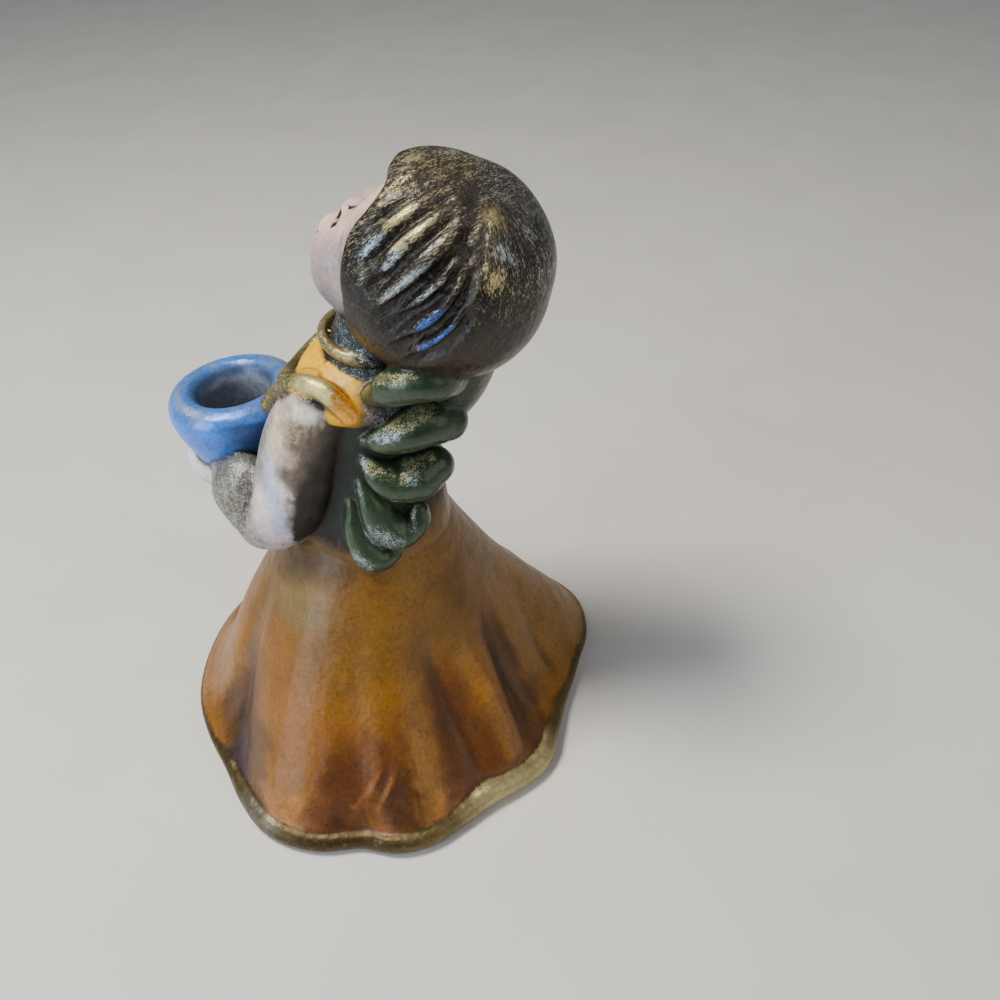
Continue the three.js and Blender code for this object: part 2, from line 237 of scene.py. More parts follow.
# Rolled hem
# A thin roll of clay is laid round the hem and left proud of it, thickest at the back left.
HEM_ROLL = [
    (-93, 1.4), (-45, 1.35), (-15, 2.4), (8, 2.2), (30, 2.4), (52, 2.6), (70, 2.5), (88, 1.8), (112, 1.6),
    (150, 1.7), (210, 1.7), (250, 1.5),
]
HEM_ROLL_HEIGHT = 2.3
HEM_ROLL_PROUD = 0.7  # how far the roll stands out of the bell
HEM_ROLL_LIFT = 0.8  # the share of the hem's lift that the roll follows
hem = add("torus", major_radius=FOOT_RADIUS, minor_radius=1, major_segments=360, minor_segments=16)
x, y, z = points(hem).T
angle = np.degrees(np.arctan2(y, x))
thick = around(HEM_ROLL, angle)
fold, lift = folds(angle, HEM_ROLL_HEIGHT)
middle = FOOT_RADIUS + along(BELL, HEM_ROLL_HEIGHT) + fold + HEM_ROLL_PROUD
radius = middle - thick + (np.hypot(x, y) - FOOT_RADIUS) * thick
turn = np.radians(angle)
place(hem, np.stack([
    radius * np.cos(turn), radius * np.sin(turn) + along(BELL_LEAN, HEM_ROLL_HEIGHT),
    np.maximum(thick + z * thick, 0) + lift * HEM_ROLL_LIFT,
], 1))

# Shoulders
# A rounded cape of clay over both shoulders, a rolled collar, and a trim at the head of each sleeve.
YOKE_CENTRE = (0, 3.4, 82)
YOKE_HALF = (15.2, 13, 8.6)
YOKE_BELOW = 4.5  # its half height below the middle
COLLAR_CENTRE = (0, 5.6, 91)
COLLAR_RADIUS = 9.2
COLLAR_HALF = (0.9, 1.1)  # half thickness, half height
COLLAR_TILT = -7
TRIM_HALF = (1.7, 1.9)
CHEST_TRIM_HALF = (1.5, 1.8)
SHOULDER_TRIM = [
    (10, -12, 79), (10.8, -8.6, 83), (12.2, -4.6, 86.2), (13.6, 0.4, 87.2), (14.2, 3.8, 85.8),
    (14.2, 6.4, 83),
]
CHEST_TRIM = [
    (8.6, -8.4, 84.2), (4.5, -10.6, 82.2), (0, -11.2, 81.4), (-4.5, -10.6, 82.2), (-8.6, -8.4, 84.2),
]
SIDE, UP = (1, 0, 0), (0, 0, 1)


def roll(stations, across, segments=24, rings=48, dome=0.16):
    """A roll of clay with round ends on a smooth path. Stations are (x, y, z, half width, half
    thickness), across is the way of the half width, and dome the share of the rings in each end."""
    piece = add("uv_sphere", segments=segments, ring_count=rings, radius=1)
    unit = points(piece)
    share = np.arccos(np.clip(-unit[:, 2], -1, 1)) / math.pi
    round_it = np.arctan2(unit[:, 1], unit[:, 0])
    t = np.clip((share - dome) / (1 - 2 * dome), 0, 1)
    beyond = np.clip(share / dome, 0, 1) - 1 + np.clip((share - 1 + dome) / dome, 0, 1)
    lean = beyond * math.pi / 2
    steps = np.linspace(0, 1, len(stations))
    column = [np.stack([steps, values], 1) for values in np.array(stations, float).T]
    small = 0.01
    path, ahead, behind = (
        np.stack([along(column[k], t + shift) for k in range(3)], 1) for shift in (0, small, -small)
    )
    axis = ahead - behind
    axis /= np.linalg.norm(axis, axis=1, keepdims=True)
    wide = across - axis * (axis @ across)[:, None]
    wide /= np.linalg.norm(wide, axis=1, keepdims=True)
    tall = np.cross(axis, wide)
    half_wide, half_tall = along(column[3], t), along(column[4], t)
    reach = np.sin(lean) * (half_wide + half_tall) / 2
    rows = path + axis * reach[:, None]
    rows += wide * (half_wide * np.cos(lean) * np.cos(round_it))[:, None]
    rows += tall * (half_tall * np.cos(lean) * np.sin(round_it))[:, None]
    return place(piece, rows)


def both_sides(stations, across, **detail):
    """A roll on the left and its mirror on the right."""
    mirrored = [(-x, *rest) for x, *rest in stations]
    return [roll(stations, across, **detail), roll(mirrored, (-across[0], *across[1:]), **detail)]


yoke = add("uv_sphere", segments=72, ring_count=40, radius=1)
unit = points(yoke)
halves = np.tile(YOKE_HALF, (len(unit), 1))
halves[unit[:, 2] <= 0, 2] = YOKE_BELOW
place(yoke, YOKE_CENTRE + unit * halves)
collar = add("torus", major_radius=COLLAR_RADIUS, minor_radius=1, major_segments=72, minor_segments=20)
x, y, z = points(collar).T
out = np.hypot(x, y)
scale = (COLLAR_RADIUS + (out - COLLAR_RADIUS) * COLLAR_HALF[0]) / out
rows = np.stack([x * scale, y * scale, z * COLLAR_HALF[1]], 1)
tilt = np.array(Matrix.Rotation(math.radians(COLLAR_TILT), 3, "X"))
place(collar, rows @ tilt.T + COLLAR_CENTRE)
trims = both_sides([(*p, *TRIM_HALF) for p in SHOULDER_TRIM], SIDE, segments=16)
trims.append(roll([(*p, *CHEST_TRIM_HALF) for p in CHEST_TRIM], UP, segments=16))

# Arms
# Wide sleeves hang from the trims to the elbows and turn up to round cuffs, and the hands close under
# the cup. The left arm is given and the right one is its mirror.
SLEEVE = [
    (11, -1.5, 82, 5.2, 6.6), (12.4, -5.5, 73, 5.8, 7.4), (13, -9.5, 61, 6.2, 7.6),
    (12.6, -15, 53.6, 6, 7),
]
FOREARM = [(12.6, -16.4, 52.6, 5.6, 6.4), (11.6, -19.4, 56.6, 5.4, 5.9), (9, -23.5, 61, 4.6, 4.8)]
CUFF = [(13.4, -18.4, 63, 4.6, 4.9), (12.8, -20.6, 60, 5.4, 5.5), (12.8, -18.6, 55.2, 5.3, 5.6)]
HAND = [(9, -24, 60, 3.8, 3.4), (6.5, -30, 58.5, 4.2, 3.2), (3.6, -34.5, 59, 3.8, 2.6)]
# Each finger joint is the first finger's place, the step to the next finger, and a radius
FINGERS = 3
FINGER_JOINTS = [
    ((6.4, -29.6, 56.6), (-2.2, -1.8, 0), 1.5), ((3, -32.6, 58), (-1.6, -1.6, 0), 1.4),
    ((0.8, -34.4, 60.6), (-0.4, -1.6, 0), 1.2),
]
sleeves = both_sides(SLEEVE, SIDE) + both_sides(FOREARM, SIDE)
cuffs = both_sides(CUFF, SIDE, rings=32, dome=0.35)
hands = both_sides(HAND, SIDE)
for i in range(FINGERS):
    joints = [
        (*(np.array(first) + np.array(step) * i), radius, radius) for first, step, radius in FINGER_JOINTS
    ]
    hands += both_sides(joints, UP, segments=14, rings=20)

# Cup
# A thick round bowl held out in front, with a fat rim and a straight socket for a small tree candle.
CUP_BORE = 13
SOCKET_DEPTH = 13
CUP_AT = (0, -26.6, 74)
CUP_TILT = 3.8
CENTRE = 0.4  # the smallest ring that closes a thrown piece on its axis
CUP = [
    (CENTRE, -19), (6.5, -18.6), (9.2, -15), (11.2, -10.5), (12.6, -6.6), (13.2, -3.8), (13, -1.6),
    (12, -0.1), (10.4, 0.7), (8.8, 0.6), (7.6, -0.4), (6.9, -1.6), (CUP_BORE / 2, -3),
    (CUP_BORE / 2, -SOCKET_DEPTH), (CENTRE, -SOCKET_DEPTH),
]
cup = throw(CUP, 96)
cup_tilt = np.array(Matrix.Rotation(math.radians(CUP_TILT), 3, "X"))
place(cup, points(cup) @ cup_tilt.T + CUP_AT)

# Wings
# Five fat lobes a side, rolled by hand and pressed on from the shoulder blades round to the back, the
# lower ones bent up at their tips.
LOBES = [
    [(11.4, 10, 86.2, 1.9), (12.2, 13.8, 88.8, 3), (12.2, 18.2, 91, 3.4), (10.2, 21.4, 91, 3.3),
     (8, 22.4, 89.8, 2.8)],
    [(11.8, 7.6, 76.6, 1.4), (11.6, 11.4, 77.6, 2.7), (10.4, 15.4, 79.2, 3.5), (7.4, 18.7, 80, 3.8),
     (5.6, 20.4, 79.4, 3.3)],
    [(12.2, 7.2, 72.2, 1.3), (12.2, 9.4, 69.8, 2.5), (11, 12.2, 68, 3.5), (8.8, 15.4, 68, 4.1),
     (6.6, 17.7, 69.2, 3.3)],
    [(11.7, 5.6, 67, 1.3), (12.4, 7.4, 62, 2.3), (11.8, 8.9, 57.2, 3.1), (10, 11.6, 54.8, 3.1),
     (8.4, 13.9, 56.6, 2.4), (7.9, 14.5, 58.8, 1.6)],
    [(12.1, 3.2, 62.4, 1.3), (13.3, 4.1, 56, 2.3), (13.6, 5.9, 51, 2.9), (12.6, 8, 49.6, 2.5),
     (11.8, 9.5, 50, 1.7)],
]
LOBE_ACROSS = (1, -0.4, 0)
LOBE_WIDE, LOBE_THICK = 1.22, 1.08
WING_ROOT, RIGHT_WING_CLOSE = 5, 0.72  # the right wing lies closer to the back
wings = []
for lobe in LOBES:
    left = [(x, y, z, fat * LOBE_WIDE, fat * LOBE_THICK) for x, y, z, fat in lobe]
    right = [(-x, WING_ROOT + (y - WING_ROOT) * RIGHT_WING_CLOSE, *rest) for x, y, *rest in left]
    wings.append(roll(left, LOBE_ACROSS, dome=0.12))
    wings.append(roll(right, (-LOBE_ACROSS[0], *LOBE_ACROSS[1:]), dome=0.12))
# The hair runs down over the nape between the wings
NAPE = [(0, 21, 94, 9, 6.6), (0, 21.4, 88, 8.6, 6), (0, 19.2, 81, 6.4, 4.6), (0, 15, 75, 4, 3)]
nape = roll(NAPE, SIDE, segments=32)

# Head
# A large head tilted back and turned to the figure's right: a cap of hair combed forward from the
# crown in deep locks, and a plain doll's face with closed eyes pressed into its front.
HEAD_CENTRE = (0, 18.2, 105.4)
HEAD_HALF = (17.4, 19.4, 18.2)  # half width, half depth, half height
HEAD_MEAN = 17.8  # the radius that turns angles on the head into lengths
HEAD_BACK_TILT = 22
HEAD_TURN = 16
CROWN_TOWARD, CROWN_EDGE, CROWN_SWELL = (0.62, -0.45, 0.64), 0.72, 1.1
# How far ahead the hair reaches, by the angle round the face from level to straight up
HAIRLINE = [
    (-90, 4), (-25, 4.8), (-9, 5.8), (1, 7.2), (10, 8.2), (19, 8.8), (31, 9.3), (44, 8.4), (57, 8.4),
    (66, 9.4), (74, 11), (90, 12.8),
]
HAIR_LIP = 2.4  # the hair turns into its front over this length
# A place on the hair is (turn, comb): degrees from the crown down the left side, and the share of a
# direction that lies across the locks. Grooves are depth, half width, and the turns and combs passed.
COMB = (-0.045, 0.91, 0.413)
DOWN_SIDE, FROM_CROWN = (1, 0.041, 0.018), (0, -0.413, 0.91)
GROOVES = [
    (0.45, 0.9, (-14, -4, 8, 22, 38), (0.5, 0.54, 0.57, 0.6, 0.63)),
    (0.5, 0.9, (-6, 4, 14, 28, 48), (0.44, 0.5, 0.53, 0.535, 0.54)),
    (0.9, 1.2, (4, 15, 30, 48, 68), (0.39, 0.43, 0.465, 0.49, 0.5)),
    (1.4, 1.6, (14, 25, 40, 56, 78), (0.27, 0.3, 0.3, 0.3, 0.235)),
    (1.5, 1.6, (22, 33, 50, 66, 84), (0.15, 0.12, 0.095, 0.075, 0.095)),
    (1.6, 1.7, (20, 27, 40, 62, 90), (0.05, -0.05, -0.11, -0.15, -0.15)),
    (1.5, 1.6, (21, 32, 46, 66, 94), (-0.1, -0.19, -0.28, -0.31, -0.27)),
    (1.5, 1.6, (26, 36, 50, 70, 100), (-0.21, -0.35, -0.46, -0.51, -0.42)),
    (1.2, 1.5, (38, 50, 64, 80, 100), (-0.48, -0.59, -0.64, -0.65, -0.58)),
    (0.5, 0.7, (38, 50, 62, 70, 78), (0.2, 0.185, 0.175, 0.17, 0.165)),
    (0.4, 0.7, (34, 42, 52, 62, 74), (0.06, 0.02, -0.01, -0.03, -0.04)),
    (0.4, 0.7, (44, 52, 62, 72, 82), (-0.19, -0.21, -0.225, -0.23, -0.22)),
    (0.8, 1.1, (5, 12, 18, 23, 28), (0.08, -0.01, -0.12, -0.22, -0.33)),
    (0.6, 0.9, (9, 12, 16, 19, 22), (-0.11, -0.16, -0.21, -0.25, -0.3)),
    (0.7, 2.6, (6, 14, 19, 24, 31), (0.34, 0.16, 0.02, -0.14, -0.33)),
    (0.35, 0.7, (60, 70, 80, 88, 95), (0.66, 0.64, 0.6, 0.55, 0.48)),
]
GROOVE_STEPS = 28
LOCK_RELIEF = 1.4  # how much deeper the grooves are pressed before the clay is smoothed
GROOVE_TAPER, GROOVE_END = 5, 0.1  # how fast a groove deepens from its ends, and its share of depth there
FAR_SIDE = (48, 74)  # on the far side the locks start further down, between these turns
FACE_AT, FACE_HALF = (0, 7.2, -5.2), (13, 12.6, 12)
CHEEK_SWELL, CHEEK_TOWARD, CHEEK_EDGE = 1.5, (0.62, 0.74, -0.12), 0.72
BROW_AT, BROW_HALF = (0, 3.4, -0.6), (14, 12.4, 13.4)
NOSE_AT, NOSE_HALF = (0, 12.3, -0.6), (1.7, 1.6, 1.6)
LIPS_AT, LIPS_HALF = (0, 11.8, -4.4), (2.4, 1.2, 1.1)
LID_AT, LID_HALF = (4.7, 11, 2.9), (2.9, 1.6, 2)
RIDGE_AT, RIDGE_HALF = (2.2, 8.6, 6.2), (3, 2.3, 2.3)
head_turn = Matrix.Rotation(math.radians(-HEAD_TURN), 3, "Z") @ Matrix.Rotation(
    math.radians(-HEAD_BACK_TILT), 3, "X"
)
# Rows of this turn a direction into aside, ahead and aloft as the head has them
HEAD = np.array([head_turn @ Vector(way) for way in ((1, 0, 0), (0, -1, 0), (0, 0, 1))])


def on_head(at, base=(0, 0, 0)):
    """A place given as aside, ahead and aloft from the head's centre, or from a place on it."""
    return HEAD_CENTRE + np.add(at, base) @ HEAD


def egg(local, half):
    """Distance from the centre to an egg's surface along unit directions in the head's axes."""
    return 1 / np.linalg.norm(local / half, axis=1)


def ball(centre, reach, subdivisions=5):
    """A ball of clay whose surface lies at reach(direction in the head's axes) from its centre."""
    piece = add("ico_sphere", subdivisions=subdivisions, radius=1)
    unit = points(piece)
    unit /= np.linalg.norm(unit, axis=1, keepdims=True)
    return place(piece, centre + unit * reach(unit @ HEAD.T)[:, None])


def swell(local, toward, edge):
    """1 where a direction of either side points a given way, 0 beyond the edge, and smooth between."""
    facing = np.abs(local[:, 0]) * toward[0] + local[:, 1:] @ toward[1:]
    return fade(facing, edge, 1)


def combed(local):
    """The turn and comb of directions, with those on the far side given a turn below zero."""
    turn = np.degrees(np.arctan2(local @ DOWN_SIDE, local @ FROM_CROWN))
    return turn, local @ COMB


def groove_depth(local):
    """How deep the grooves between the locks are."""
    mirrored = local * np.where(local[:, :1] < 0, (-1, 1, 1), (1, 1, 1))
    far = np.where(local[:, 0] < 0, combed(mirrored)[0], 0)
    near = np.where(far[:, None] > FAR_SIDE[0], mirrored, local)
    depth = np.zeros(len(local))
    for most, half, *places in GROOVES:
        t = np.linspace(0, 1, GROOVE_STEPS)
        steps = np.linspace(0, 1, len(places[0]))
        turns, combs = (along(np.stack([steps, column], 1), t) for column in places)
        turns = np.radians(turns)[:, None]
        flat = np.sqrt(1 - combs ** 2)[:, None]
        path = combs[:, None] * COMB + flat * (np.sin(turns) * DOWN_SIDE + np.cos(turns) * FROM_CROWN)
        taper = np.minimum(1, GROOVE_TAPER * np.minimum(t, 1 - t) + GROOVE_END)
        gap = HEAD_MEAN * np.sqrt(np.maximum(2 - 2 * near @ path.T, 0))
        nearest = np.argmin(gap, axis=1)
        share = np.clip(1 - gap[np.arange(len(gap)), nearest] / half, 0, 1)
        depth += LOCK_RELIEF * most * taper[nearest] * share ** 2 * (3 - 2 * share)
    return depth * np.where(far > 0, fade(far, *FAR_SIDE), 1)


def hair_reach(local):
    """The cap of hair: an egg fuller at its crown, with grooves between its locks, ended in front."""
    reach = egg(local, HEAD_HALF) + CROWN_SWELL * swell(local, CROWN_TOWARD, CROWN_EDGE)
    reach -= groove_depth(local)
    round_face = np.degrees(np.arctan2(local[:, 2], np.abs(local[:, 0])))
    front = along(HAIRLINE, round_face) / np.maximum(local[:, 1], 0.01)
    blend = np.clip((front - reach) / HAIR_LIP, -1, 1)
    return np.where(blend >= 1, reach, np.minimum(front, reach) - HAIR_LIP * (1 - np.abs(blend)) ** 2 / 4)


def face_reach(local):
    """An egg with full cheeks."""
    return egg(local, FACE_HALF) + CHEEK_SWELL * swell(local, CHEEK_TOWARD, CHEEK_EDGE)


hair = ball(HEAD_CENTRE, hair_reach, subdivisions=7)
face = [
    ball(on_head(FACE_AT), face_reach, subdivisions=6),
    ball(on_head(BROW_AT), lambda local: egg(local, BROW_HALF)),
]
features = [(NOSE_AT, NOSE_HALF), (LIPS_AT, LIPS_HALF)]
for side in (-1, 1):
    for (aside, *rest), half in ((LID_AT, LID_HALF), (RIDGE_AT, RIDGE_HALF)):
        features.append(((side * aside, *rest), half))
for middle, half in features:
    face.append(ball(on_head(middle, FACE_AT), lambda local: egg(local, half)))

# Fusing the clay
# The parts are luted together and smoothed with a wet finger before firing, so they are one piece of
# clay with soft joints. Each point keeps how far inside each part's own surface it lies.
ZONES = {
    "dress": [skirt, body], "hem": [hem], "wing": wings, "sleeve": sleeves, "cuff": cuffs, "hand": hands,
    "cup": [cup], "yoke": [yoke], "trim": trims, "collar": [collar], "face": face, "hair": [hair],
    "nape": [nape],
}
FUSE = 0.4
MOST_TRIANGLES = 190_000
REACH = 3.0  # distances beyond this don't matter
NEAR_ROUNDS, WIDE_ROUNDS = ((6, 48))  # averaging that finds creases and hollows
SOFTEN, SOFTEN_ROUNDS = 0.5, 3


def surface(pieces):
    """A search tree over the pieces' faces."""
    rows, faces, first = [], [], 0
    for piece in pieces:
        rows += [v.co.copy() for v in piece.data.vertices]
        faces += [[first + i for i in face.vertices] for face in piece.data.polygons]
        first = len(rows)
    return BVHTree.FromPolygons(rows, faces)


def distance(tree, rows):
    """How far each row is from the tree's faces, at most REACH."""
    found = (tree.find_nearest(row, REACH)[3] for row in rows)
    return np.array([REACH if gap is None else gap for gap in found])


trees = {zone: surface(pieces) for zone, pieces in ZONES.items()}
pick(*sum(ZONES.values(), []))
bpy.ops.object.join()
angel = bpy.context.object
angel.name = "painted_angel"
apply(angel, "REMESH", mode="VOXEL", voxel_size=FUSE)
apply(angel, "SMOOTH", factor=SOFTEN, iterations=SOFTEN_ROUNDS)
triangles = sum(len(face.vertices) - 2 for face in angel.data.polygons)
if triangles > MOST_TRIANGLES:
    apply(angel, "DECIMATE", ratio=MOST_TRIANGLES / triangles)

at = points(angel)
normals = read(angel.data.vertices, "normal", 3)
ends = read(angel.data.edges, "vertices", 2, np.int64)
neighbours = np.bincount(ends.ravel(), minlength=len(at))
to_zone = {zone: distance(tree, at) for zone, tree in trees.items()}
nearest = np.sort(np.stack(list(to_zone.values())), axis=0)
inner = {
    zone: np.where(gap <= nearest[0], nearest[1], nearest[0]) - gap for zone, gap in to_zone.items()
}


def smoothed(values, rounds):
    """The points' values, each averaged with its neighbours' again and again."""
    values = np.array(values, float).reshape(len(at), -1)
    for _ in range(rounds):
        sums = np.stack([
            np.bincount(ends[:, 0], column[ends[:, 1]], len(at))
            + np.bincount(ends[:, 1], column[ends[:, 0]], len(at)) for column in values.T
        ], 1)
        values = (values + sums / neighbours[:, None]) / 2
    return values


def keep(name, kind, values):
    """Keeps a value of every point for the material to read."""
    layer = angel.data.attributes.new(name, kind, "POINT")
    field = {"FLOAT": "value", "FLOAT_VECTOR": "vector", "FLOAT_COLOR": "color"}[kind]
    layer.data.foreach_set(field, np.ascontiguousarray(values, dtype=np.float32).ravel())


close_by, round_about = smoothed(at, NEAR_ROUNDS), smoothed(at, WIDE_ROUNDS)
dip = ((close_by - at) * normals).sum(1)  # above 0 in creases, below 0 on crests
basin = ((round_about - at) * normals).sum(1)

# Paint and glaze
# Each part is painted by hand over its edge into the next, in glazes that pool dark in the creases; the
# broad hollows are darkened as well, partly by settled glaze and partly as painted shade.
# Gold, silver and blue lustre are dry-brushed over what stands proud, laid thicker where highlights fall as
# painted highlight, and bluer where reflections fall as painted reflection.

# Each part's colour as sRGB, and its roughness, metallic and thickness of the clear glaze
LOOKS = {
    "dress": ((134, 87, 14), (0.42, 0, 0.07)), "hem": ((100, 86, 54), (0.42, 0.7, 0)),
    "wing": ((38, 60, 38), (0.3, 0.1, 0.3)), "sleeve": ((224, 212, 212), (0.5, 0, 0)),
    "cuff": ((112, 104, 88), (0.42, 0.4, 0)), "hand": ((214, 208, 216), (0.42, 0, 0)),
    "cup": ((52, 126, 240), (0.34, 0.2, 0.15)), "yoke": ((234, 176, 0), (0.42, 0, 0)),
    "trim": ((104, 94, 58), (0.34, 0.6, 0)), "collar": ((128, 114, 70), (0.34, 0.5, 0.1)),
    "face": ((212, 184, 172), (0.46, 0, 0.05)), "hair": ((20, 18, 18), (0.36, 0.25, 0.1)),
    "nape": ((36, 38, 30), (0.36, 0.1, 0.1)),
}
BODY_FINISH = (0.6, 0, 0)  # above the skirt the dress is left matt


def shade(red, green, blue):
    """A linear colour from sRGB numbers up to 255."""
    levels = np.array([red, green, blue]) / 255
    return np.where(levels <= 0.04045, levels / 12.92, ((levels + 0.055) / 1.055) ** 2.4)


def brush(mask, colour):
    """Paints a colour over the points by a mask."""
    paint[:] += np.clip(mask, 0, 1)[:, None] * (shade(*colour) - paint)


def inside(zone):
    """1 inside a part's own surface."""
    return inner[zone] > 0


def wobbly(size, seed):
    """A smooth random value from -1 to 1 over the points, of a size in mm."""
    rng = np.random.default_rng(seed)
    waves = rng.normal(size=(14, 3)) * (1.6 / size)
    phases = rng.uniform(0, 2 * math.pi, 14)
    return np.clip(np.sin(at @ waves.T + phases).sum(1) / 4.2, -1, 1)


owner = np.argmax(np.stack([inner[zone] for zone in LOOKS]), axis=0)
paint = np.stack([shade(*colour) for colour, finish in LOOKS.values()])[owner]
side, back, height = at.T
angle = np.degrees(np.arctan2(back, side))
outward = np.hypot(side, back)
on_dress = inside("dress")
wave, ripple, speck = wobbly(9, 1), wobbly(3.5, 2), wobbly(1.2, 3)

# Broad changes of the skirt's glaze, and one band of painted shade: angle, half angle, height, half height,
# colour, strength
SASHES = [
    (-20, 32, 20, 17, (130, 82, 20), 0.85), (-70, 24, 10, 13, (140, 98, 56), 0.95),
    (-22, 26, 39, 6, (116, 96, 56), 0.85), (-34, 22, 45, 5, (88, 70, 40), 0.8),
    # The dark band at -4 degrees and 46.5 mm, just under the wings and sleeve, is painted shade
    (-4, 22, 46.5, 4, (72, 50, 22), 0.7), (58, 36, 46, 5, (140, 98, 30), 0.75),
    (12, 14, 15, 8, (142, 86, 22), 0.6), (36, 8, 17, 11, (140, 96, 32), 0.7),
    (114, 28, 13, 17, (146, 106, 46), 0.85), (180, 60, 14, 16, (128, 84, 32), 0.6),
    (-2, 10, 6.5, 4.5, (164, 108, 46), 0.9), (-14, 8, 6, 4, (152, 102, 56), 0.85),
    (39, 7, 6.3, 2.8, (152, 98, 40), 0.9),
]
# Stains along its folds: angle at the foot and at the top, foot, top, half width in mm at the foot,
# colour, strength, and the share of its width that a stain has lost at its top
STAINS = [
    (-35, -44, 6, 27, 9.4, (80, 50, 20), 0.92, 0.5), (-24, -29, 3.6, 17, 12, (84, 58, 36), 0.85, 0.25),
    (-28, -32, 3.8, 11, 6.4, (50, 38, 46), 0.85, 0.5), (-46, -50, 18, 30, 3, (112, 88, 68), 0.6, 0.5),
    (18, 19, 4.6, 25, 13.4, (100, 56, 12), 0.85, 0.35), (26, 26, 5.6, 20, 6, (62, 32, 8), 0.85, 0.3),
    (10, 11, 5, 19, 6, (78, 42, 10), 0.85, 0.3), (3, 6, 6, 12.6, 3.6, (100, 58, 18), 0.75, 0.5),
    (18, 19, 4, 8, 4, (124, 76, 34), 0.7, 0.5), (13.5, 23, 8, 16.5, 0.6, (140, 88, 40), 0.7, 0),
    (20, 27, 8.5, 16.5, 0.55, (140, 88, 40), 0.7, 0), (52, 47.5, 5, 33, 10.4, (104, 62, 12), 0.85, 0.85),
    (51, 48, 5, 29, 7.4, (88, 48, 6), 0.9, 0.8), (70, 85, 5, 33, 9.4, (104, 64, 16), 0.85, 0.7),
    (72, 85, 5, 26, 7.2, (76, 46, 12), 0.88, 0.65), (62, 67, 8, 24, 2.4, (120, 82, 30), 0.8, 0.2),
    (150, 148, 5, 26, 7, (66, 42, 16), 0.9, 0.5), (189, 190, 5, 22, 7, (74, 48, 20), 0.85, 0.5),
    (229, 228, 5, 26, 7.5, (68, 48, 28), 0.85, 0.5), (-92, -90, 5, 18, 5, (92, 62, 30), 0.7, 0.5),
]
brush(on_dress * 0.85 * fade(height + 2 * wave, 22, 35), (108, 75, 20))
for centre, half, level, half_height, colour, strength in SASHES:
    gap = np.hypot(turned(angle, centre) / half, (height - level) / half_height) + 0.12 * wave
    brush(on_dress * strength * fade(gap, 1.15, 0.45), colour)
for foot_angle, top_angle, foot, top, half, colour, strength, lost in STAINS:
    t = np.clip((height - foot) / (top - foot), 0, 1)
    aside = np.radians(turned(angle, foot_angle + (top_angle - foot_angle) * t)) * outward
    across = np.abs(aside) / (half * (1 - lost * t)) + 0.24 * ripple + 0.14 * speck
    above = fade(height + 1.4 * ripple, top - 0.4 * (top - foot), top + 1)
    lengthwise = fade(height, foot - 2.5, foot + 0.5) * (1 - above)
    brush(on_dress * strength * fade(across, 1.25, 0.62) * lengthwise, colour)
inward = (normals[:, :2] * at[:, :2]).sum(1) < 0
brush(on_dress * inward * (height < HOLLOW_TOP) * (outward < FOOT_RADIUS + 2.8), (120, 80, 40))
# Above the waist the body is painted near black: partly its dark paint, partly painted shade between the
# sleeves and wings and under the head
waist = height + 0.8 * ripple - 5 * fade(back, 7, 13)
brush(on_dress * fade(waist, 49.4, 51.8), (24, 19, 14))
for start, end, mask, colour in (
    (58, 64, fade(back, 4, 9), (22, 24, 20)), (80, 86, fade(speck + ripple, -0.2, 0.7) * 0.7, (28, 38, 66)),
    (52, 56, fade(inner["wing"] + 0.4 * ripple, -4, -1.5), (22, 38, 34)),
):
    brush(on_dress * fade(height, start, end) * mask, colour)

# Stretches of the hem are angle, half angle and colour
for middle, half, colour in (
    (-60, 44, (70, 58, 36)), (10, 20, (64, 50, 28)), (-12, 7, (106, 102, 88)), (62, 20, (168, 156, 112)),
):
    gap = np.abs(turned(angle, middle)) / half + 0.2 * wave
    brush(inside("hem") * fade(gap, 1.1, 0.4) * 0.85, colour)

# How far back the pale front of the sleeves goes, by height. Behind it the sleeve is dark: partly dark
# paint, partly painted shade
SLEEVE_BACK = [(46, -10.4), (54, -8.8), (62, -6.2), (69, -5), (76, -2.8), (83, 0)]
past = back - along(SLEEVE_BACK, height)
on_sleeve = inside("sleeve") | inside("cuff")
strip = (back + 9.5) / 2.6 + 0.3 * ripple
in_strip = fade(np.abs(strip), 1.3, 0.4) * fade(height, 52, 58) * fade(height, 76, 70)
bulb = on_sleeve * fade(0.2 * (height - 56) - back + 1.6 * ripple + 0.8 * speck, 12.4, 17)
aloft = fade(height, 64, 74)
brown_edge = fade(past + (0.5 + aloft) * ripple + speck, -1.4 - 3 * aloft, 0.2)
scratch = fade(wobbly(0.9, 4) + 0.5 * ripple, 0.75, 1.05)
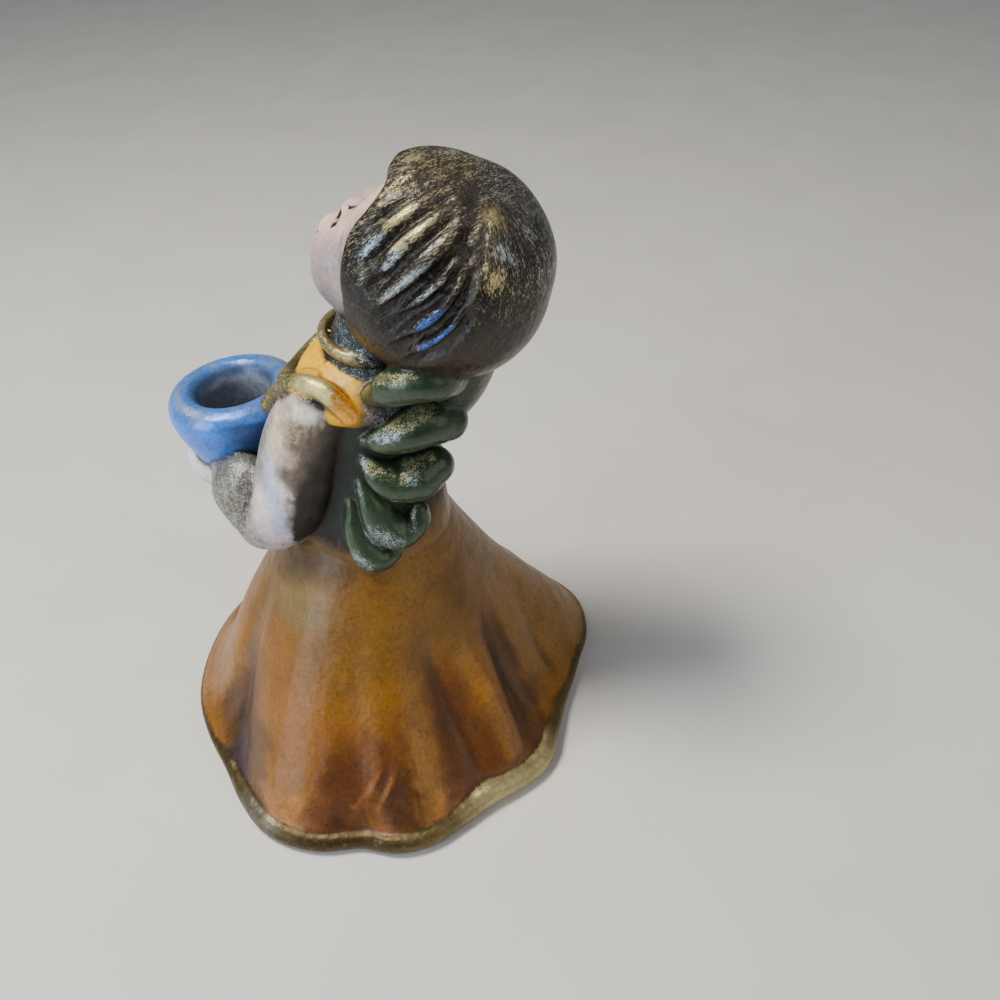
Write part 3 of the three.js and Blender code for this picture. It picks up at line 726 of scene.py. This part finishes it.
# A painted highlight: a near-white patch on the top front of each sleeve
SLEEVE_PAINTED_HIGHLIGHT, PAINTED_HIGHLIGHT_HALF = (15.4, -1.8, 82.6), (2, 3, 2.6)
painted_highlight_gap = np.linalg.norm((at - SLEEVE_PAINTED_HIGHLIGHT) / PAINTED_HIGHLIGHT_HALF, axis=1)
by_trim = inner["trim"] + 0.5 * ripple
for mask, colour in (
    (fade(height + 2 * ripple, 62, 76) * 0.8, (204, 188, 166)),
    (fade(speck + fade(height, 66, 80), 0.7, 1.3) * 0.5, (120, 104, 88)), (in_strip * 0.9, (198, 202, 232)),
    (fade(height + 1.6 * ripple, 58, 50) * 0.8, (168, 158, 164)), (bulb * 0.9, (104, 97, 84)),
    (bulb * fade(height + 2 * ripple, 56, 50) * 0.7, (138, 128, 128)),
    (brown_edge * fade(height, 54, 62) * 0.9, (88, 73, 62)),
    # The sleeve's dark back: partly dark paint, partly painted shade
    (fade(past + 0.4 * ripple + 0.4 * speck, -0.2, 4 * aloft + 1), (24, 19, 16)),
    (scratch * (height < 66) * (past < -1) * 0.7, (70, 62, 58)),
    # The painted highlight
    (fade(painted_highlight_gap + 0.3 * ripple + 0.3 * speck, 1.2, 0.5) * 0.8, (250, 246, 232)),
    (fade(by_trim, -2.6, -1.6) * 0.7, (176, 162, 176)),
    (fade(by_trim + 0.3 * speck, -1.5, -0.8), (24, 20, 22)), (fade(height, 85.6, 86.4), LOOKS["yoke"][0]),
):
    brush(on_sleeve * mask, colour)
brush(inside("hand") * fade(inner["hand"] + 0.7 * ripple, 1.1, 0.1), (30, 34, 44))

cup_at = (at - CUP_AT) @ cup_tilt
round_cup = np.degrees(np.arctan2(cup_at[:, 1], cup_at[:, 0]))
cup_out = np.hypot(*cup_at[:, :2].T)
on_cup = inside("cup")
on_top = fade(cup_at[:, 2] + 0.8 * ripple, -2.6, -0.8)
brush(on_cup * on_top * 0.8, (74, 130, 212))
brush(on_cup * on_top * fade(speck + ripple, 0, 0.9) * 0.6, (116, 138, 172))
# Painted shade: the cup's lower body is darker on the side turned from the light
cup_shaded_side = fade(round_cup + 10 * wave, -4, 24) * fade(round_cup, 160, 110)
brush(on_cup * (1 - on_top) * cup_shaded_side * 0.85, (50, 74, 112))
in_socket = on_cup * (cup_at[:, 2] > -SOCKET_DEPTH - 1)
# Painted shade on the rim's inner slope, and a paler bore below it
brush(in_socket * fade(cup_out + 0.3 * ripple, 9, 7.2) * 0.9, (66, 80, 104))
brush(in_socket * fade(cup_out, 7.1, 6.6), (132, 142, 160))

on_yoke = inside("yoke")
brush(on_yoke * fade(back + 0.7 * ripple, 6, 8.6), (122, 92, 64))
brush(on_yoke * fade(back + 0.7 * ripple, 8, 10.6), (44, 40, 44))
brush(on_yoke * fade(inner["collar"], -1.5, -0.8) * 0.85, (60, 40, 22))
# Painted shadow: the yoke inside the collar ring is painted as dark as the shaded neck
brush(on_yoke * (np.hypot(side, back - COLLAR_CENTRE[1]) < COLLAR_RADIUS + 0.6), (30, 28, 34))
brush(inside("trim") * fade(np.abs(back - 0.4) + 0.6 * ripple, 5, 2.6), (196, 182, 118))
brush(inside("trim") * fade(back + 0.5 * ripple, 3.4, 5.4), (236, 150, 16))
collar_turn = np.degrees(np.arctan2(back - COLLAR_CENTRE[1], np.abs(side)))
brush(inside("collar") * fade(collar_turn + 8 * ripple, -2, 14), (26, 32, 46))

local_at = (at - HEAD_CENTRE) @ HEAD.T
direction = local_at / np.linalg.norm(local_at, axis=1, keepdims=True)
head_aside, head_ahead, head_aloft = direction.T
hair_turn, hair_comb = combed(direction)
on_hair, on_face = inside("hair"), inside("face")
brush(on_hair * fade(-head_ahead, 0.1, 0.6) * fade(-head_aloft + 0.1 * wave, -0.5, 0.3), (40, 30, 18))
# Painted light: the top of the hair is painted paler, as lit from above
brush(on_hair * fade(head_aloft + 0.1 * wave, 0.4, 0.95) * 0.7, (62, 57, 52))
brush(inside("nape") * fade(-height + 1.2 * ripple, -88, -82), (30, 46, 30))
face_side, face_ahead, face_up = (local_at - FACE_AT).T
face_side = np.abs(face_side)
# Painted shade: the lower face and the sides of the face by the hair are painted greyer
brush(on_face * fade(-face_up + 0.5 * ripple, -3, 6) * 0.8, (160, 144, 146))
brush(on_face * fade(face_side + 0.4 * ripple, 7.8, 10.8) * 0.65, (118, 114, 122))
# Painted shadow under the head: the face's back and lower edge by the neck are painted near black
neck_shadow = fade(height + 0.8 * (face_ahead - 2) + 0.6 * ripple, 100, 97) * fade(face_ahead, 9, 6)
brush(on_face * neck_shadow, (34, 28, 26))
brush(on_face * fade(height, 93.5, 90), (34, 28, 26))
# Soft touches on both sides of the face are place, half sizes, colour and strength: blush, lips, a pale
# patch above the cheeks as painted light, and bluish-grey painted shade by the hair
for spot, half, colour, strength in (
    ((7.4, 9.8, -0.6), (3.6, 5, 3), (216, 138, 118), 0.75),
    ((0, 13.4, -4.4), (2.3, 2, 0.9), (176, 78, 72), 0.95),
    ((5.2, 9.5, 5.5), (5, 5, 3), (238, 196, 178), 0.7), ((10.4, 4, 1), (2.6, 3, 5), (138, 144, 164), 0.7),
):
    gap = np.linalg.norm((np.stack([face_side, face_ahead, face_up], 1) - spot) / half, axis=1)
    brush(on_face * strength * fade(gap, 1.1, 0.4), colour)

# Lustre patches on the hair, laid where its highlights fall, partly real lustre and partly painted
# highlight, the blue ones partly painted reflection, are (turn, comb, half turn, half comb, amount,
# blueness)
HAIR_LUSTRE_AND_HIGHLIGHTS = [
    (44, 0.395, 17, 0.065, 0.8, 0), (46, 0.21, 18, 0.07, 0.8, 0.05), (66, 0.345, 11, 0.075, 0.7, 0.65),
    (67, 0.14, 13, 0.06, 0.72, 0.5), (42, 0.05, 10, 0.04, 0.6, 0.3), (62, -0.06, 22, 0.045, 0.66, 0.4),
    (62, -0.42, 20, 0.055, 0.74, 1), (68, -0.57, 18, 0.05, 0.7, 1), (52, -0.24, 20, 0.035, 0.6, 0.5),
    (8, -0.03, 9, 0.16, 0.5, 0), (24, -0.42, 9, 0.13, 0.54, 0), (13, -0.29, 6, 0.13, 0.5, 0.4),
    (33, 0.64, 11, 0.06, 0.62, 0.1), (12, 0.76, 16, 0.07, 0.52, 0.1), (-12, 0.66, 16, 0.06, 0.46, 0.3),
    (75, -0.3, 16, 0.06, 0.4, 0.5), (28, 0.3, 15, 0.2, 0.4, 0.1), (24, -0.05, 10, 0.14, 0.4, 0.1),
]
crest = fade(-basin, -0.02, 0.28)
gilt_and_highlight = on_hair * (0.1 + 0.18 * (0.4 + 0.6 * crest) * fade(head_aloft + 0.3 * wave, -0.2, 0.7))
blueness = np.where(on_hair, 0.12 + 0.2 * wave, 0.1)
signed_turn = np.where(hair_turn < -FAR_SIDE[0], -hair_turn, hair_turn)
for turn, comb, half_turn, half_comb, amount, blue in HAIR_LUSTRE_AND_HIGHLIGHTS:
    gap = np.hypot((signed_turn - turn) / half_turn, (hair_comb - comb) / half_comb)
    mask = on_hair * fade(gap + 0.15 * ripple, 1.5, 0.1) * (0.25 + 0.75 * crest)
    gilt_and_highlight = np.maximum(gilt_and_highlight, mask * amount)
    blueness += np.minimum(mask * 1.6, 1) * (blue - blueness)
WING_LIGHT_FROM = (0.5, -0.3, 0.81)  # the way the light falls on the wings, where their lustre is laid thicker as painted highlight
LOW_LOBES = 66  # below this height the painted highlight is laid on their sides as well
lit = fade(normals @ WING_LIGHT_FROM + 0.2 * ripple, 0.6, 0.98) * fade(-basin, -0.1, 0.25)
from_side = fade(np.abs(normals[:, 0]) + 0.2 * ripple, 0.72, 0.98)
lit = np.maximum(lit, 0.8 * (height < LOW_LOBES) * from_side)
# Bluer lustre on the wings' sides and undersides, as painted reflection
wing_blue_reflection = 0.1 + 0.5 * fade(-normals[:, 2] + 0.3 * ripple, -0.6, -0.2)
nape_side = (on_dress & (height > 82)) | (on_yoke & (back > 8.6))
worn = 0.5 + 0.5 * crest
# Elsewhere lustre is where it lies, how much of it there is, and how blue it is; on the wings part of it is
# painted highlight and painted reflection
for mask, amount, blue in (
    (inside("wing"), 0.1 + 0.36 * lit, wing_blue_reflection), (inside("trim"), 0.36 * worn, 0.05),
    (inside("collar"), 0.34 * worn, 0.2), (inside("cuff"), 0.4 * worn, 0.4),
    (inside("hem"), 0.14 * worn, 0.15), (inside("nape"), 0.14 * worn, 0.1), (on_cup, 0, 0.45),
    (nape_side, 0.26, 0.5 + 0.2 * wave), (bulb > 0.5, 0.38, 0.4),
):
    gilt_and_highlight = np.where(mask, amount, gilt_and_highlight)
    blueness = np.where(mask, blue, blueness)
gilt_and_highlight = np.where(inside("sleeve") & (past < 0), np.maximum(gilt_and_highlight, 0.3 * fade(height, 68, 80)), gilt_and_highlight)
RIM_RADIUS, RIM_HALF = 10.9, 1.3
RIM_HIGHLIGHTS, RIM_HIGHLIGHT_HALF = (-35, 170), 50  # where silver lustre is laid on the rim as painted highlight, and half its length
rim_gap = np.abs(cup_out - RIM_RADIUS) / RIM_HALF
rim_side = np.max([1 - np.abs(turned(round_cup, turn)) / RIM_HIGHLIGHT_HALF for turn in RIM_HIGHLIGHTS], axis=0)
rim_highlight = on_cup * fade(rim_gap, 1.2, 0.4) * (cup_at[:, 2] > -2.4) * fade(rim_side, 0, 0.6)
gilt_and_highlight = np.maximum(gilt_and_highlight, 0.5 * rim_highlight)

WAIST = 50  # where the skirt's gloss ends
SMOOTH_FROM = 36  # above this the join of skirt and body leaves no dark line
finish = np.array([finish for colour, finish in LOOKS.values()])[owner]
finish[on_dress & (waist > WAIST)] = BODY_FINISH
dip[on_dress & (height > SMOOTH_FROM)] = 0
# The grain of the hair runs along its locks, and down from the crown at the back
behind = fade(-head_ahead - 0.5 * np.abs(head_aside), 0.15, 0.5)
across = hair_comb * HEAD_MEAN
down = np.radians(hair_turn) * HEAD_MEAN * np.sqrt(np.maximum(1 - hair_comb ** 2, 0.01))
strand = np.stack([across * 1.4, down * 0.4, side * 0.1], 1)
spine = np.stack([np.arctan2(head_aside, -head_ahead) * HEAD_MEAN, height * 0.5, side * 0.1], 1)
# Thin strokes of the brush on the face: the way across, the way along, middles, half length and bend
strokes = []
for over, run, middle, level, half, bend in (
    (face_side, face_up, 4.2, 9.8, 2, 0.05), (face_up, face_side, 6.4, 5, 3.2, -0.07),
    (face_up, face_side, 1.9, 5.2, 3.2, 0.09),
):
    gap = np.abs(over - middle - bend * (run - level) ** 2)
    strokes.append(gap + 10 * np.maximum(np.abs(run - level) - half, 0))
keep("paint", "FLOAT_COLOR", np.concatenate([paint, np.ones((len(at), 1))], 1))
keep("finish", "FLOAT_VECTOR", smoothed(finish, 1))
for name, values in (
    ("gilt_and_highlight", gilt_and_highlight), ("blueness", np.clip(blueness, 0, 1)), ("dip", dip), ("basin", basin),
    ("behind", behind * on_hair), ("on_hair", smoothed(on_hair.astype(float), 1)),
    ("pitted", on_dress * 0.5 + on_cup * 0.3),
    ("stroke", np.where(on_face & (face_ahead > 0), np.min(strokes, 0), 9)),
):
    keep(name, "FLOAT", values)
keep("grain", "FLOAT_VECTOR", np.where(on_hair[:, None], strand, at))
keep("nape", "FLOAT_VECTOR", spine)

# Clay material
# Two node groups, for dry-brushed lustre and for the cloudiness of firing, and one material that reads
# the paint, finish, lustre, creases and grain kept on the mesh. Each node goes into the tree at hand.


def node(kind, inputs=(), **settings):
    """A shader node with its settings, and inputs that are numbers or other nodes' outputs."""
    made = tree.nodes.new(f"ShaderNode{kind}")
    for name, value in settings.items():
        setattr(made, name, value)
    for socket, value in dict(inputs).items():
        if isinstance(value, bpy.types.NodeSocket):
            tree.links.new(value, made.inputs[socket])
        else:
            made.inputs[socket].default_value = value
    return made


def reckon(operation, *values):
    """A Math node's output."""
    return node("Math", dict(enumerate(values)), operation=operation).outputs[0]


def times(first, second):
    """The product of two numbers."""
    return reckon("MULTIPLY", first, second)


def ease(value, start, end, low=0, high=1):
    """A Map Range node's output, smooth from low to high."""
    inputs = {"Value": value, "From Min": start, "From Max": end, "To Min": low, "To Max": high}
    return node("MapRange", inputs, interpolation_type="SMOOTHSTEP").outputs["Result"]


def mix(share, first, second):
    """A Mix node's output between two colours."""
    colours = {0: share}
    for socket, colour in ((6, first), (7, second)):
        colours[socket] = colour if isinstance(colour, bpy.types.NodeSocket) else (*colour, 1)
    return node("Mix", colours, data_type="RGBA").outputs[2]


def blend(share, first, second):
    """A Mix node's output between two numbers."""
    return node("Mix", {0: share, 2: first, 3: second}, data_type="FLOAT").outputs[0]


def speckle(vector, scale, detail=2, roughness=0.5):
    """A Noise node's value, evened out to about 0 to 1."""
    inputs = {"Vector": vector, "Scale": scale, "Detail": detail, "Roughness": roughness}
    noise = node("TexNoise", inputs)
    return ease(noise.outputs["Fac"], 0.28, 0.72)


def stored(name, output="Fac"):
    """A value kept on the mesh."""
    return node("Attribute", attribute_name=name).outputs[output]


def group(name, inputs, outputs):
    """An empty node group with float or vector inputs and outputs, and its two end nodes."""
    tree = bpy.data.node_groups.new(name, "ShaderNodeTree")
    for names, way in ((inputs, "INPUT"), (outputs, "OUTPUT")):
        for label in names:
            kind = "NodeSocketVector" if label == "Place" else "NodeSocketFloat"
            tree.interface.new_socket(name=label, in_out=way, socket_type=kind)
    return tree, tree.nodes.new("NodeGroupInput").outputs, tree.nodes.new("NodeGroupOutput").inputs


def use(group_tree, **inputs):
    """A node group's outputs in a material."""
    return node("Group", inputs, node_tree=group_tree).outputs


def material(name):
    """A new material, its node tree and the inputs of its surface."""
    made = bpy.data.materials.new(name)
    made.use_nodes = True
    return made, made.node_tree, made.node_tree.nodes["Principled BSDF"].inputs


lustre_group, given, result = group("dry-brushed lustre", ["Place", "Amount", "Grain"], ["Mask", "Raised"])
tree = lustre_group
fine = speckle(given["Place"], given["Grain"], 3, 0.7)
coarse = speckle(given["Place"], times(given["Grain"], 0.25), 2)
cover = blend(0.3, fine, coarse)
bar = reckon("SUBTRACT", 1, given["Amount"])
mask = ease(reckon("SUBTRACT", cover, bar), -0.3, 0.34)
mask = times(mask, ease(given["Amount"], 0.02, 0.36))
tree.links.new(mask, result["Mask"])
tree.links.new(times(mask, 0.02), result["Raised"])

cloud_group, given, result = group("fired cloudiness", ["Place", "Scale", "Low", "High"], ["Value"])
tree = cloud_group
cloud = speckle(given["Place"], given["Scale"], 4, 0.55)
span = reckon("SUBTRACT", given["High"], given["Low"])
tree.links.new(reckon("MULTIPLY_ADD", cloud, span, given["Low"]), result["Value"])

clay, tree, clay_inputs = material("painted_clay_glazed")
coordinates = node("TexCoord").outputs["Object"]
to_mm = node("VectorMath", {0: coordinates, "Scale": 1 / MM}, operation="SCALE").outputs[0]
grain, nape_grain = stored("grain", "Vector"), stored("nape", "Vector")
behind = stored("behind")
roughness, metallic, gloss = node("SeparateXYZ", {0: stored("finish", "Vector")}).outputs
cloudy = use(cloud_group, Place=to_mm, Scale=0.16, Low=0.86, High=1.14)["Value"]
brushed = use(cloud_group, Place=grain, Scale=1.3, Low=0.84, High=1.16)["Value"]
brushed_down = use(cloud_group, Place=nape_grain, Scale=1.3, Low=0.8, High=1.2)["Value"]
liveliness = times(cloudy, blend(behind, brushed, brushed_down))
colour = stored("paint", "Color")
colour = node("VectorMath", {0: colour, "Scale": liveliness}, operation="SCALE").outputs[0]
dip, basin = stored("dip"), stored("basin")
pooled = times(ease(dip, 0.01, 0.09), 0.6)
colour = mix(pooled, colour, shade(24, 17, 11))
# Darker in broad hollows: partly settled glaze, partly painted shade
settled_glaze_and_shade = times(ease(basin, 0.1, 0.7), 0.4)
colour = mix(settled_glaze_and_shade, colour, shade(42, 23, 6))
colour = mix(ease(stored("stroke"), 0.5, 0.22), colour, shade(26, 22, 26))
pores = times(ease(speckle(to_mm, 1.7, 1), 0.97, 1.0), stored("pitted"))
colour = mix(pores, colour, shade(40, 28, 20))

# The lustre kept on the mesh includes painted highlight and painted reflection
gilt_and_highlight, blueness = stored("gilt_and_highlight"), stored("blueness")
lustre, lustre_down = (use(lustre_group, Place=way, Amount=gilt_and_highlight, Grain=3.6) for way in (grain, nape_grain))
lustre_and_highlight_mask, raised = (blend(behind, lustre[name], lustre_down[name]) for name in ("Mask", "Raised"))
metal = mix(ease(blueness, 0, 0.5), shade(226, 210, 156), shade(196, 210, 220))
metal = mix(ease(blueness, 0.55, 1.0), metal, shade(60, 110, 205))
share = times(lustre_and_highlight_mask, 0.85)
colour = mix(share, colour, metal)
metallic = blend(share, metallic, 0.8)
roughness = blend(share, roughness, 0.33)
smears = use(cloud_group, Place=to_mm, Scale=0.5, Low=-0.05, High=0.06)["Value"]
roughness = reckon("ADD", roughness, smears)

fine_strands = speckle(grain, 1.2, 3, 0.6)
fine_down = speckle(nape_grain, 1.0, 3, 0.6)
strands = times(blend(behind, fine_strands, fine_down), stored("on_hair"))
swells = speckle(to_mm, 0.22, 2)
grit = speckle(to_mm, 2.6, 2)
relief = times(strands, 0.1)
relief = reckon("MULTIPLY_ADD", swells, 0.16, relief)
relief = reckon("MULTIPLY_ADD", grit, 0.014, relief)
relief = reckon("ADD", relief, raised)
bump = node("Bump", {"Height": relief, "Distance": MM, "Strength": 1.0}).outputs["Normal"]
for socket, value in (
    ("Base Color", colour), ("Roughness", roughness), ("Metallic", metallic), ("Coat Weight", gloss),
    ("Normal", bump),
):
    tree.links.new(value, clay_inputs[socket])
for socket, value in (("IOR", 1.5), ("Specular IOR Level", 0.4), ("Coat Roughness", 0.14)):
    clay_inputs[socket].default_value = value
angel.data.materials.clear()
angel.data.materials.append(clay)

FOOT = (AXIS[0] * MM, AXIS[1] * MM, 0)
angel.data.transform(Matrix.Translation(FOOT) @ Matrix.Scale(MM, 4))
angel.data.update()
angel.data.shade_smooth()
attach(angel, "root")
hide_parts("angel")

# Floor, light and camera
# A plain pale floor, soft light from a lamp above, a window at the figure's left and a dim wall behind,
# and the photograph's view.
floor = add("plane", size=4)
paper, tree, paper_inputs = material("pale_floor")
mottle = speckle(node("TexCoord").outputs["Object"], 30, 3)
tree.links.new(mix(mottle, shade(232, 230, 227), shade(238, 236, 233)), paper_inputs["Base Color"])
paper_inputs["Roughness"].default_value = 0.7
floor.data.materials.append(paper)
PITCH, TURN, ROLL = map(math.radians, (40, 20, 2))
DISTANCE = 0.239  # from the lens to the middle of the foot
IMAGE = 1000  # pixels across
FOCAL = 1000  # focal length in the same pixels
FOOT_PIXEL = (395, 668)
forward = Vector((-math.cos(TURN) * math.cos(PITCH), -math.sin(TURN) * math.cos(PITCH), -math.sin(PITCH)))
level = Vector((-math.sin(TURN), math.cos(TURN), 0))
upward = level.cross(forward)
right = math.cos(ROLL) * level - math.sin(ROLL) * upward
top = math.sin(ROLL) * level + math.cos(ROLL) * upward
to_foot = (FOOT_PIXEL[0] - IMAGE / 2) * right - (FOOT_PIXEL[1] - IMAGE / 2) * top + FOCAL * forward
lens = Vector(FOOT) - DISTANCE * to_foot.normalized()
camera = bpy.data.objects.new("camera", bpy.data.cameras.new("camera"))
camera.data.angle = 2 * math.atan(IMAGE / 2 / FOCAL)
camera.data.clip_start = 0.01
camera.matrix_world = Matrix.Translation(lens) @ Matrix((right, top, -forward)).transposed().to_4x4()
bpy.context.collection.objects.link(camera)
bpy.context.scene.camera = camera
# Each light is name, place, what it shines on, width, watts and colour
LIGHTS = [
    ("lamp", (0.10, -0.16, 0.50), (0, 0, 0.06), 0.14, 3.0, (1, 0.93, 0.82)),
    ("window", (0.46, -0.32, 0.24), (0, 0, 0.06), 0.36, 2.0, (0.78, 0.88, 1)),
    ("wall", (0.1, 0.55, 0.34), (0, 0, 0.05), 0.5, 0.9, (1, 0.95, 0.88)),
]
for name, where, target, width, watts, tone in LIGHTS:
    lamp = bpy.data.lights.new(name, "AREA")
    lamp.energy, lamp.size, lamp.color = watts, width, tone
    light = bpy.data.objects.new(name, lamp)
    aim = (Vector(where) - Vector(target)).to_track_quat("Z", "Y")
    light.matrix_world = Matrix.Translation(where) @ aim.to_matrix().to_4x4()
    bpy.context.collection.objects.link(light)
world = bpy.data.worlds.new("room")
world.use_nodes = True
sky = world.node_tree.nodes["Background"].inputs
sky["Color"].default_value = (0.78, 0.82, 0.88, 1)
sky["Strength"].default_value = 0.16
bpy.context.scene.world = world
